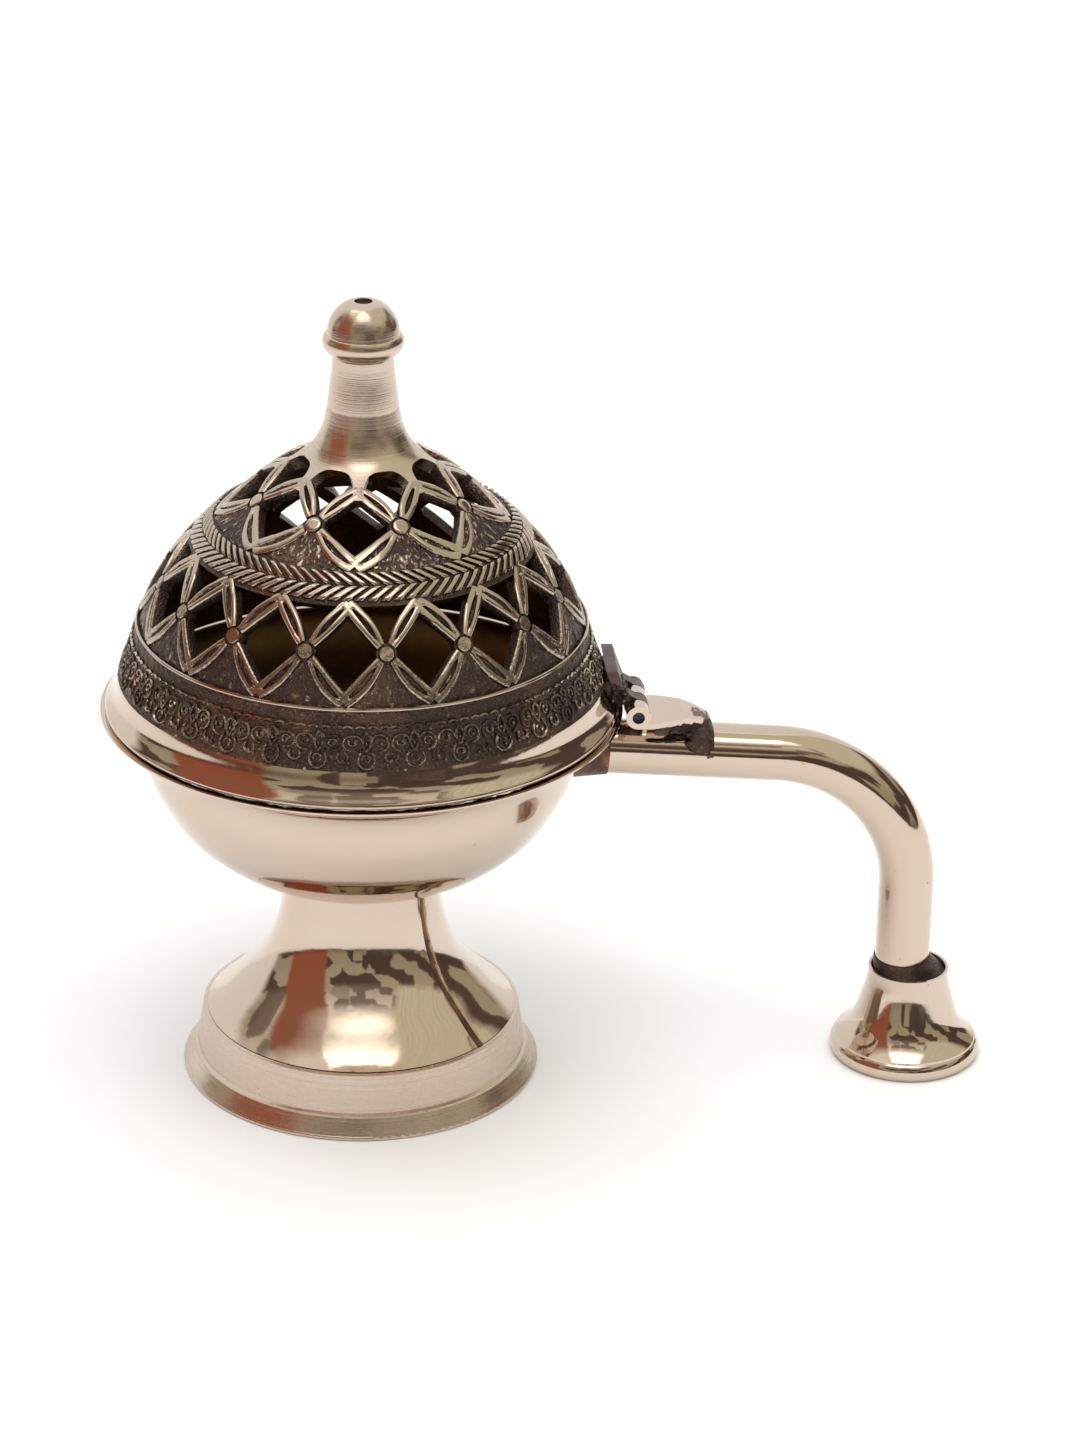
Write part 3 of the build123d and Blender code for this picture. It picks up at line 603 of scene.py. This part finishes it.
def petal(build, start, end, scale, straight_side, bend, start_gap, shine):
    """Petal with rounded rims and a sunk lens between them, from a flower to a junction.

    start and end are (azimuth, arc length); straight_side is the side along an opening, or 0.
    """
    t = np.linspace(0, 1, 25)
    ref = start[0]
    p0 = np.array([0.0, start[1]])
    p1 = np.array([(end[0] - ref) * radius_at(end[1]), end[1]])
    along = p1 - p0
    length = np.linalg.norm(along)
    along /= length
    across = np.array([-along[1], along[0]])
    reach = start_gap + t * (length - start_gap + 0.30 * MM)
    narrow = np.interp(t, PETAL_T, STRAIGHT) * scale * MM
    wide = np.interp(t, PETAL_T, BULGING) * scale * MM
    if not straight_side:
        narrow = wide = (narrow + wide) / 2
    right, left = (wide, narrow) if straight_side > 0 else (narrow, wide)
    centre = (left - right) / 2
    groove = (left + right) / 2 - RIM * scale
    groove = np.clip(groove, 0, 0.42 * MM) * np.sin(pi * np.clip((t - 0.02) / 0.86, 0, 1)) ** 0.5
    deep = 0.60 * MM * np.clip(groove / (0.25 * MM), 0, 1)
    flat = 1 - np.clip(groove / (0.2 * MM), 0, 1)
    zero = np.zeros_like(t)
    columns = [(-right, zero - 0.35 * MM, 0.40), (-right + 0.16 * MM, zero - 0.08 * MM, 0.95),
               ((-right + centre - groove) / 2, zero + 0.09 * MM, 1.0),
               (centre - groove - 0.12 * MM, zero, 0.95), (centre - groove, -0.6 * deep, 0.30),
               (centre, -deep, 0.05),
               (centre + groove, -0.6 * deep, 0.30), (centre + groove + 0.12 * MM, zero, 0.95),
               ((left + centre + groove) / 2, zero + 0.09 * MM, 1.0),
               (left - 0.16 * MM, zero - 0.08 * MM, 0.95), (left, zero - 0.35 * MM, 0.40)]
    top = np.zeros((len(t), len(columns), 3))
    low = np.zeros_like(top)
    wear = np.zeros(top.shape[:2])
    middle = bend * np.sin(pi * t)
    for j, (w, h, g) in enumerate(columns):
        q = p0 + reach[:, None] * along + (middle + w)[:, None] * across
        az = ref + q[:, 0] / radius_at(q[:, 1])
        top[:, j] = surface(az, q[:, 1], h)
        low[:, j] = surface(az, q[:, 1], np.full(t.shape, -WALL))
        wear[:, j] = g if j in (0, len(columns) - 1) else np.maximum(g, 0.9 * flat)
    build.patch(top, low, wear * shine, 0.3)


def boss(build, azimuth, s, size, shine):
    """Flat polished boss in a sunk ring at a flower's centre."""
    radii = np.array([0.5, 0.90, 1.0, 1.10, 1.38, 1.45]) * size
    lifts = np.array([0.12, 0.12, 0.0, -GROUND, -GROUND, -0.6]) * MM
    wears = [0.96 * shine, 0.95 * shine, 0.5, 0.02, 0.02, 0.05]
    build.disc(azimuth, s, radii, lifts, wears, -WALL)


def lattice_tier(name, flowers, phase, z_join, z_flower, z_top, scale, size, ground_low, dim):
    """One tier: petals, bosses and the stippled solid triangles under the flowers.

    scale widens the petals, size is a boss's radius, ground_low is the arc length at which the ground
    starts, and dim dulls the bosses and the lower petals.
    """
    build = Build()
    pitch = tau / flowers
    s_join, s_flower, s_top = float(arc(z_join)), float(arc(z_flower)), float(arc(z_top))
    noise = grain(TIER_ROWS)
    glitter = 0.28 if flowers == UPPER_FLOWERS else 0.16
    zigzag = s_flower + (s_join - s_flower) * folded(AROUND, flowers, phase)
    strip(build, ground_low, zigzag, -GROUND * MM + 0.12 * MM * noise,
          np.clip(glitter + 0.42 * noise, 0, 1))
    for k in range(flowers):
        centre = phase + k * pitch
        for side in (-1, 1):
            wide = scale * (1 + rng.normal(0, 0.03))
            bend = rng.normal(0, 0.06) * MM
            petal(build, (centre, s_flower), (centre + side * pitch / 2, s_top), wide, 0,
                  side * 0.25 * MM + bend, RING_GAP * size, 1.0)
            petal(build, (centre, s_flower), (centre + side * pitch / 2, s_join), wide, side,
                  side * -0.25 * MM + bend, RING_GAP * size, 1.0 - dim)
        boss(build, centre, s_flower, size, 1.0 - dim)
    return build.mesh(name, "lid", cast)


def leaf_ring():
    """Two rows of slanting leaves that meet in a herringbone round the dome."""
    build = Build()
    s_low, s_mid, s_top = (float(arc(z)) for z in (RING_LOW_Z, RING_MID_Z, RING_TOP_Z))
    noise = grain(RING_ROWS)
    strip(build, s_low - 0.9 * MM, s_top + 0.35 * MM, -SUNK * MM + 0.08 * MM * noise,
          np.clip(0.06 + 0.16 * noise, 0, 1))
    t = np.linspace(0, 1, 9)
    for s0, s1, slant in ((s_mid + 0.10 * MM, s_top, -1), (s_low, s_mid - 0.10 * MM, 1)):
        for k in range(LEAVES):
            centre = tau * k / LEAVES + rng.normal(0, 0.0012)
            ragged = rng.normal(0, 0.06) * MM
            s = s0 + ragged + (s1 - s0 - ragged) * t
            lean = (t - 0.5) * 1.6 * tau / LEAVES * slant
            half = (0.33 + 0.02 * rng.normal()) * tau / LEAVES
            high = 0.36 * MM * np.minimum(1, 8 * np.minimum(t + 0.03, 1.03 - t)) ** 0.5
            top, low, wear = [], [], []
            for w, h, g in ((-1, 0.0, 0.35), (-0.75, 0.8, 0.95), (-0.2, 1.0, 1.0),
                            (0.6, 0.85, 1.0), (1, 0.0, 0.35)):
                az = centre + lean + w * half
                top.append(surface(az, s, high * h))
                low.append(surface(az, s, np.full(s.shape, -0.6 * MM)))
                wear.append(np.full(s.shape, g))
            build.patch(np.array(top), np.array(low), np.array(wear))
    return build.mesh("lid_leaf_ring", "lid", cast)


CONE_LAP = 1.2             # how far the cone's feet reach below the upper tier's top, millimetres
CONE_WALL = 2.6 * MM
STUD_HOLE_R = 1.75 * MM
HUB_GAP = 1.2 * MM         # from the arches' tops to the hub, whose wall is level with the stud's hole


def cone():
    """Polished cone that carries the finial; arched openings are cut into its foot."""
    build = Build()
    s_arch, s_foot, s_seat = float(arc(ARCH_Z)), float(arc(UP_TOP_Z - CONE_LAP)), PROFILE_S[-1]
    across = np.clip(folded(AROUND, UPPER_FLOWERS, UPPER_PHASE) / ARCH_W, 0, 1)
    arches = s_foot + (s_arch - s_foot) * (1 - across ** ARCH_POWER) ** (1 / ARCH_POWER)
    t = np.linspace(0, 1, 40)[:, None]
    s = arches + t * (s_seat - arches)
    a = np.broadcast_to(AROUND, s.shape)
    inner_r = np.maximum(radius_at(s) - CONE_WALL, STUD_HOLE_R)
    inner = surface(a, s, np.full(s.shape, -WALL))
    hub = s > s_arch + HUB_GAP
    inner[hub] = np.stack([inner_r * np.cos(a), inner_r * np.sin(a),
                           np.interp(s, PROFILE_S, PROFILE_Z)], -1)[hub]
    build.band(surface(a, s, np.zeros(s.shape)), inner, np.ones(s.shape), 0.2)
    return build.mesh("lid_cone", "lid", cone_brass)


cone_brass = polished_brass("cone_brass", turned=1.1, rough=0.10)
skirt()
border()
lattice_tier("lid_lattice_lower", LOWER_FLOWERS, LOWER_PHASE, LOW_JOIN_Z, LOW_FLOWER_Z, LOW_TOP_Z,
             1.0, 1.40 * MM, float(arc(RIDGE_Z)), 0.34)
leaf_ring()
lattice_tier("lid_lattice_upper", UPPER_FLOWERS, UPPER_PHASE, UP_JOIN_Z, UP_FLOWER_Z, UP_TOP_Z,
             1.08, 1.5 * MM, float(arc(RING_TOP_Z)) + 0.3 * MM, 0.0)
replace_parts(cone(), "lid_dome")


# ---- solder and braze ------------------------------------------------------------------------------
def lump(build, centre, radii, rows=18, sides=26):
    """Blob of set solder: a ball pushed in and out by a few random waves."""
    waves = [(rng.normal(0, 3.2, 3), rng.uniform(0, tau), rng.uniform(0.03, 0.10)) for _ in range(9)]

    def grown(direction):
        swell = 1 + sum(size * np.sin(direction @ wave + start) for wave, start, size in waves)
        return np.array(centre) * MM + direction * swell[..., None] * np.array(radii) * MM

    tilt = np.linspace(0, pi, rows + 1)[1:-1]
    turn = tau * np.arange(sides) / sides
    T, A = np.meshgrid(tilt, turn, indexing="ij")
    rings = grown(np.stack([np.sin(T) * np.cos(A), np.sin(T) * np.sin(A), np.cos(T)], -1))
    poles = grown(np.array([[0.0, 0.0, 1.0], [0.0, 0.0, -1.0]]))
    points = np.concatenate([rings.reshape(-1, 3), poles])
    last = (rows - 2) * sides
    faces = []
    for j in range(sides):
        k = (j + 1) % sides
        faces.append((len(points) - 2, j, k))
        faces.append((len(points) - 1, last + k, last + j))
        faces.extend((i * sides + j, (i + 1) * sides + j, (i + 1) * sides + k, i * sides + k)
                     for i in range(rows - 2))
    build.add(points, faces, 0.3)


# Solder under the handle leaf: centres and radii in millimetres
LEAF_EDGE = ((57.0, -7.7), (59.5, -7.0), (61.5, -6.1), (63.5, -5.0), (65.0, -4.0))
LEAF_EDGE_Z = 73.3
LEAF_BEND_X, LEAF_FALL = 61.6, 0.27
LEAF_LUMPS = (((64.4, -4.2, 70.7), (2.1, 1.4, 1.8)), ((65.9, -2.5, 70.8), (1.6, 2.1, 1.7)),
              ((63.2, -4.6, 69.6), (1.4, 1.1, 1.0)), ((65.9, -4.5, 68.2), (1.3, 1.1, 1.2)),
              ((66.7, -4.9, 66.8), (0.8, 0.7, 0.8)), ((60.4, -2.8, 70.4), (1.9, 1.6, 0.7)),
              ((58.9, -3.9, 69.9), (1.2, 0.9, 0.6)))
# Solder on the lid leaf, as (x, z): over its face and over its front end
LID_FACE = ((49.45, 82.0), (49.8, 81.2), (50.25, 80.2), (50.3, 79.5))
LID_FACE_Y = (-6.1, -4.9, -3.6, -2.2)
LID_END = ((47.8, 82.7), (48.5, 82.0), (49.3, 81.2), (49.9, 80.2), (48.1, 81.1), (48.9, 80.2),
           (47.8, 80.3), (49.3, 79.3), (48.4, 79.4))
LID_END_Y = -6.75


def handle_solder():
    """Ragged solder under the handle leaf's front edge, at its tip and running down the tube."""
    build = Build()
    for x, y in LEAF_EDGE:
        lump(build, (x, y, LEAF_EDGE_Z - LEAF_FALL * max(0.0, x - LEAF_BEND_X)),
             (1.5, 0.80 + rng.uniform(0, 0.2), 0.75 + rng.uniform(0, 0.2)))
    for centre, radii in LEAF_LUMPS:
        lump(build, centre, radii)
    return build.mesh("handle_leaf_solder", "base", solder, smooth_angle=80)


def lid_solder():
    """Rough solder over the front lower part of the lid leaf."""
    build = Build()
    for y in LID_FACE_Y:
        for x, z in LID_FACE:
            lump(build, (x, y + rng.normal(0, 0.15), z), (0.50, 0.95, 0.75))
    for x, z in LID_END:
        lump(build, (x, LID_END_Y + rng.normal(0, 0.1), z), (0.72, 0.62, 0.72))
    return build.mesh("lid_leaf_lumps", "lid", solder, smooth_angle=80)


handle_solder()
lid_solder()


# ---- camera, floor and light ---------------------------------------------------------------------
CAMERA_AT = (-0.0277, -0.7875, 0.4291)
CAMERA_AIM = (0.0715, 0.9086, -0.4115)
CAMERA_ROLL = radians(1.2)
LENS, SENSOR = 112.5, 36
FLOOR_R = 1.3


def camera():
    """Camera fitted to the outlines of the censer in the photograph."""
    data = bpy.data.cameras.new("camera")
    data.lens = LENS
    data.sensor_width = SENSOR
    piece = bpy.data.objects.new("camera", data)
    bpy.context.scene.collection.objects.link(piece)
    forward = Vector(CAMERA_AIM).normalized()
    right = forward.cross(Vector((0, 0, 1))).normalized()
    up = right.cross(forward)
    r = right * cos(CAMERA_ROLL) + up * sin(CAMERA_ROLL)
    u = up * cos(CAMERA_ROLL) - right * sin(CAMERA_ROLL)
    turn = Matrix((r, u, -forward)).transposed().to_4x4()
    piece.matrix_world = Matrix.Translation(CAMERA_AT) @ turn
    bpy.context.scene.camera = piece


def plain(name, color):
    material = bpy.data.materials.new(name)
    material.use_nodes = True
    shader = material.node_tree.nodes["Principled BSDF"]
    shader.inputs["Base Color"].default_value = color
    shader.inputs["Roughness"].default_value = 0.9
    return material


def floor():
    """Round pale floor; the room beyond its edge shows as a dark line in the brass."""
    data = bpy.data.meshes.new("floor")
    count = 96
    ring = [(FLOOR_R * cos(tau * k / count), FLOOR_R * sin(tau * k / count), 0) for k in range(count)]
    data.from_pydata(ring, [], [tuple(range(count))])
    data.materials.append(plain("floor_white", (0.905, 0.935, 0.98, 1)))
    piece = bpy.data.objects.new("floor", data)
    bpy.context.scene.collection.objects.link(piece)


LIT_POINT = Vector((0.03, 0, 0.06))


def area(name, location, size, energy):
    """Soft light aimed at the censer, not seen as a shape in the brass."""
    data = bpy.data.lights.new(name, "AREA")
    data.shape = "RECTANGLE"
    data.size, data.size_y = size
    data.energy = energy
    piece = bpy.data.objects.new(name, data)
    bpy.context.scene.collection.objects.link(piece)
    piece.location = location
    piece.rotation_mode = "QUATERNION"
    aim = LIT_POINT - Vector(location)
    piece.rotation_quaternion = aim.to_track_quat("-Z", "Y")
    piece.visible_glossy = False


def stops(tree, value, entries):
    """Colour ramp over a value from 0 to 1."""
    node = tree.nodes.new("ShaderNodeValToRGB")
    ramp = node.color_ramp
    for i, (at, color) in enumerate(entries):
        stop = ramp.elements[i] if i < 2 else ramp.elements.new(at)
        stop.position = at
        stop.color = (*color, 1)
    tree.links.new(value, node.inputs[0])
    return node.outputs["Color"]


def world():
    """Plain white to the camera; the brass sees a soft room with dark and warm parts.

    Azimuth 0 is along the handle, 100 is behind the censer and 200 is on its left.
    """
    w = bpy.data.worlds.new("studio")
    bpy.context.scene.world = w
    w.use_nodes = True
    tree = w.node_tree

    def node(kind, *values, **settings):
        made = tree.nodes.new(kind)
        for key, value in settings.items():
            setattr(made, key, value)
        for i, value in enumerate(values):
            if isinstance(value, bpy.types.NodeSocket):
                tree.links.new(value, made.inputs[i])
            else:
                made.inputs[i].default_value = value
        return made

    def number(op, a, b=0.0):
        return node("ShaderNodeMath", a, b, operation=op).outputs[0]

    def blend(factor, a, b):
        made = tree.nodes.new("ShaderNodeMix")
        made.data_type = "RGBA"
        for value, socket in ((factor, 0), (a, 6), (b, 7)):
            if isinstance(value, bpy.types.NodeSocket):
                tree.links.new(value, made.inputs[socket])
            else:
                made.inputs[socket].default_value = value
        return made.outputs[2]

    def sector(middle, half, soft):
        """1 within half degrees of an azimuth, fading over soft degrees."""
        away = number("COSINE", number("SUBTRACT", azimuth, radians(middle)))
        edge = node("ShaderNodeMapRange", away, cos(radians(half + soft)), cos(radians(half)))
        return edge.outputs[0]

    direction = tree.nodes.new("ShaderNodeTexCoord").outputs["Generated"]
    split = node("ShaderNodeSeparateXYZ", direction)
    azimuth = number("ARCTAN2", split.outputs[1], split.outputs[0])
    elevation = number("ARCSINE", split.outputs[2])
    height = number("ADD", number("DIVIDE", elevation, pi), 0.5)
    plane = node("ShaderNodeCombineXYZ", number("MULTIPLY", azimuth, 0.62),
                 number("MULTIPLY", elevation, 1.0))
    blocks = node("ShaderNodeTexVoronoi", plane.outputs[0], distance="CHEBYCHEV")
    pick = node("ShaderNodeSeparateColor", blocks.outputs["Color"]).outputs[0]
    streak = node("ShaderNodeCombineXYZ", number("MULTIPLY", azimuth, 14.0)).outputs[0]
    streaks = node("ShaderNodeTexNoise", streak).outputs[0]

    # Colours by elevation: the ceiling is bright above 62 degrees
    at = {degrees: degrees / 180 + 0.5 for degrees in (-12, -2, 2, 26, 32, 48, 56, 62, 88)}
    dark_side = stops(tree, height, [(at[-12], (0.05, 0.04, 0.04)), (at[-2], (0.09, 0.065, 0.055)),
                                     (at[26], (0.12, 0.08, 0.065)), (at[32], (0.24, 0.19, 0.165)),
                                     (at[48], (0.30, 0.25, 0.21)), (at[56], (1.0, 0.96, 0.86)),
                                     (at[62], (2.6, 2.5, 2.3)), (at[88], (2.6, 2.5, 2.3))])
    gold_side = stops(tree, height, [(at[-2], (0.12, 0.09, 0.06)), (at[2], (0.42, 0.38, 0.26)),
                                     (at[32], (0.55, 0.50, 0.38)), (at[56], (1.0, 0.97, 0.86)),
                                     (at[62], (2.6, 2.5, 2.3)), (at[88], (2.6, 2.5, 2.3))])
    red_side = stops(tree, height, [(at[-2], (0.14, 0.05, 0.03)), (at[2], (0.38, 0.12, 0.07)),
                                    (at[48], (0.36, 0.15, 0.09)), (at[62], (1.0, 0.95, 0.85))])
    right_side = blend(node("ShaderNodeMapRange", streaks, 0.42, 0.6).outputs[0],
                       (0.55, 0.52, 0.36, 1), (0.98, 1.0, 0.80, 1))
    room = blend(node("ShaderNodeMapRange", pick, 0.52, 0.56).outputs[0], dark_side, gold_side)
    above = node("ShaderNodeMapRange", height, at[26], at[32]).outputs[0]
    room = blend(number("MULTIPLY", sector(0, 44, 8), above), room, right_side)
    room = blend(sector(200, 22, 4), room, red_side)
    room = blend(sector(100, 48, 6), room, (0.98, 0.98, 0.96, 1))
    seen = tree.nodes.new("ShaderNodeLightPath").outputs["Is Camera Ray"]
    color = blend(seen, room, (0.97, 0.97, 0.97, 1))
    tree.links.new(color, tree.nodes["Background"].inputs["Color"])
    tree.nodes["Background"].inputs["Strength"].default_value = 1.0


bpy.context.scene.view_settings.view_transform = "Standard"
camera()
floor()
world()
area("key_light", (-0.5, -0.6, 1.4), (1.4, 1.2), 5.5)
area("fill_light", (1.0, -0.3, 1.0), (1.2, 1.2), 3.5)
area("top_light", (0.0, 0.2, 1.7), (1.8, 1.8), 8.5)
